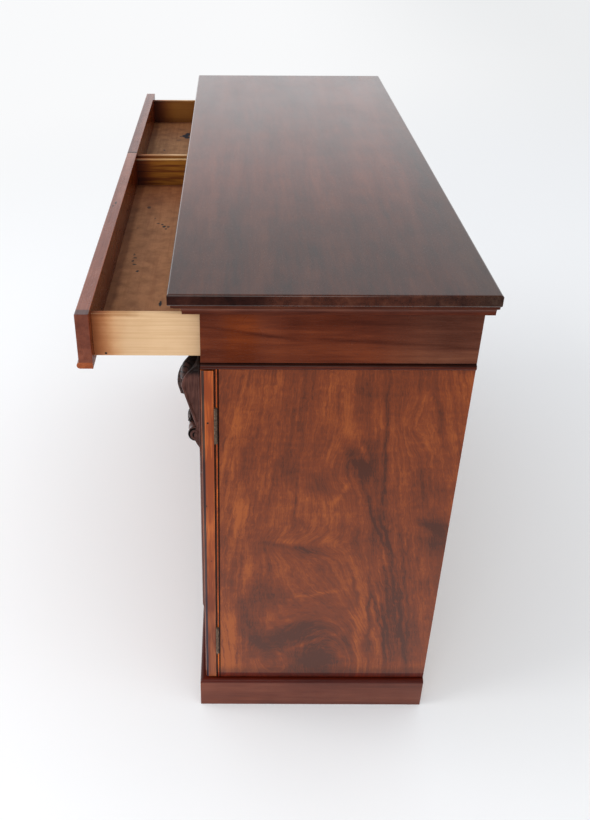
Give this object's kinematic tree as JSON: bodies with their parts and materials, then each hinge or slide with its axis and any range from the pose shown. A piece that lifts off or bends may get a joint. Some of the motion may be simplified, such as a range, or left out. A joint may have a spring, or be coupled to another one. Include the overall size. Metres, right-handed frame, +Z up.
{
  "type": "chiffonier",
  "caption": "Low mahogany cupboard with framed, corbelled doors under drawers in the frieze, a moulded top and a plinth.",
  "frame": {"origin": "on the floor under the middle of the top board, at the underside of the plinth's cross bearer", "axes": "+X to the right hand of somebody facing the doors, -Y out of the doors, +Z up"},
  "size_m": [1.29, 0.5965, 0.855],
  "materials": {
    "mahogany_top": "french polished mahogany, dark and glossy",
    "mahogany_case": "polished mahogany, straight grain",
    "mahogany_flame": "polished flame-figured mahogany",
    "mahogany_front": "polished mahogany, door and drawer fronts",
    "mahogany_moulding": "polished mahogany mouldings",
    "mahogany_carved": "dark polished carved mahogany",
    "pine_drawer": "bare pine, waxed by use",
    "pine_drawer_bottom": "bare pine, browned and ink-spotted",
    "softwood_case": "bare softwood",
    "brass_hinge": "dull, tarnished",
    "brass_escutcheon": "worn brass",
    "iron_lock": "dull iron"
  },
  "bodies": {
    "carcase": {"back_boards": "softwood_case", "bottom_board": "softwood_case", "case_side_left": "mahogany_flame", "case_side_right": "mahogany_flame", "drawer_kickers": "softwood_case", "drawer_partition": "softwood_case", "drawer_rail": "softwood_case", "drawer_runners": "softwood_case", "frieze_bead_left": "mahogany_moulding", "frieze_bead_right": "mahogany_moulding", "frieze_side_left": "mahogany_case", "frieze_side_right": "mahogany_case", "hinge_case_leaves_left": "brass_hinge", "hinge_case_leaves_right": "brass_hinge", "plinth_bearers": "softwood_case", "plinth_front": "mahogany_case", "plinth_side_left": "mahogany_case", "plinth_side_right": "mahogany_case", "shelf": "softwood_case", "shelf_bearers": "softwood_case", "top_board": "mahogany_top", "top_moulding_front": "mahogany_moulding", "top_moulding_left": "mahogany_moulding", "top_moulding_right": "mahogany_moulding", "top_rail": "mahogany_case"},
    "drawer_right": {"drawer_right_back": "pine_drawer", "drawer_right_bead": "mahogany_moulding", "drawer_right_bottom": "pine_drawer_bottom", "drawer_right_front": "mahogany_front", "drawer_right_side_left": "pine_drawer", "drawer_right_side_right": "pine_drawer"},
    "drawer_left": {"drawer_left_back": "pine_drawer", "drawer_left_bead": "mahogany_moulding", "drawer_left_bottom": "pine_drawer_bottom", "drawer_left_front": "mahogany_front", "drawer_left_side_left": "pine_drawer", "drawer_left_side_right": "pine_drawer"},
    "door_right": {"door_outer_stile_right": "mahogany_front", "door_meeting_stile_right": "mahogany_front", "door_top_rail_right": "mahogany_front", "door_bottom_rail_right": "mahogany_front", "door_panel_right": "mahogany_flame", "door_panel_moulding_right": "mahogany_moulding", "door_corbel_right": "mahogany_carved", "hinge_door_leaves_right": "brass_hinge", "lock_case": "iron_lock", "escutcheon": "brass_escutcheon"},
    "door_left": {"door_outer_stile_left": "mahogany_front", "door_meeting_stile_left": "mahogany_front", "door_top_rail_left": "mahogany_front", "door_bottom_rail_left": "mahogany_front", "door_panel_left": "mahogany_flame", "door_panel_moulding_left": "mahogany_moulding", "door_corbel_left": "mahogany_carved", "hinge_door_leaves_left": "brass_hinge", "slide_guide": "iron_lock"},
    "lock_bolt": {"lock_bolt": "iron_lock"},
    "slide_bolt": {"slide_bolt": "iron_lock"}
  },
  "joints": [
    {"name": "drawer_right_slide", "type": "slide", "parent": "carcase", "child": "drawer_right", "axis": [0, -1, 0], "range_m": [-0.156, 0.15]},
    {"name": "drawer_left_slide", "type": "slide", "parent": "carcase", "child": "drawer_left", "axis": [0, -1, 0], "range_m": [-0.156, 0.15]},
    {"name": "door_right_hinge", "type": "hinge", "parent": "carcase", "child": "door_right", "pos_m": [0.626, -0.1648, 0.3945], "axis": [0, 0, 1], "range_deg": [0, 170]},
    {"name": "door_left_hinge", "type": "hinge", "parent": "carcase", "child": "door_left", "pos_m": [-0.626, -0.1648, 0.3945], "axis": [0, 0, -1], "range_deg": [0, 170]},
    {"name": "lock_bolt_slide", "type": "slide", "parent": "door_right", "child": "lock_bolt", "axis": [-1, 0, 0], "range_m": [0, 0.012]},
    {"name": "slide_bolt_slide", "type": "slide", "parent": "door_left", "child": "slide_bolt", "axis": [0, 0, -1], "range_m": [0, 0.01]}
  ]
}
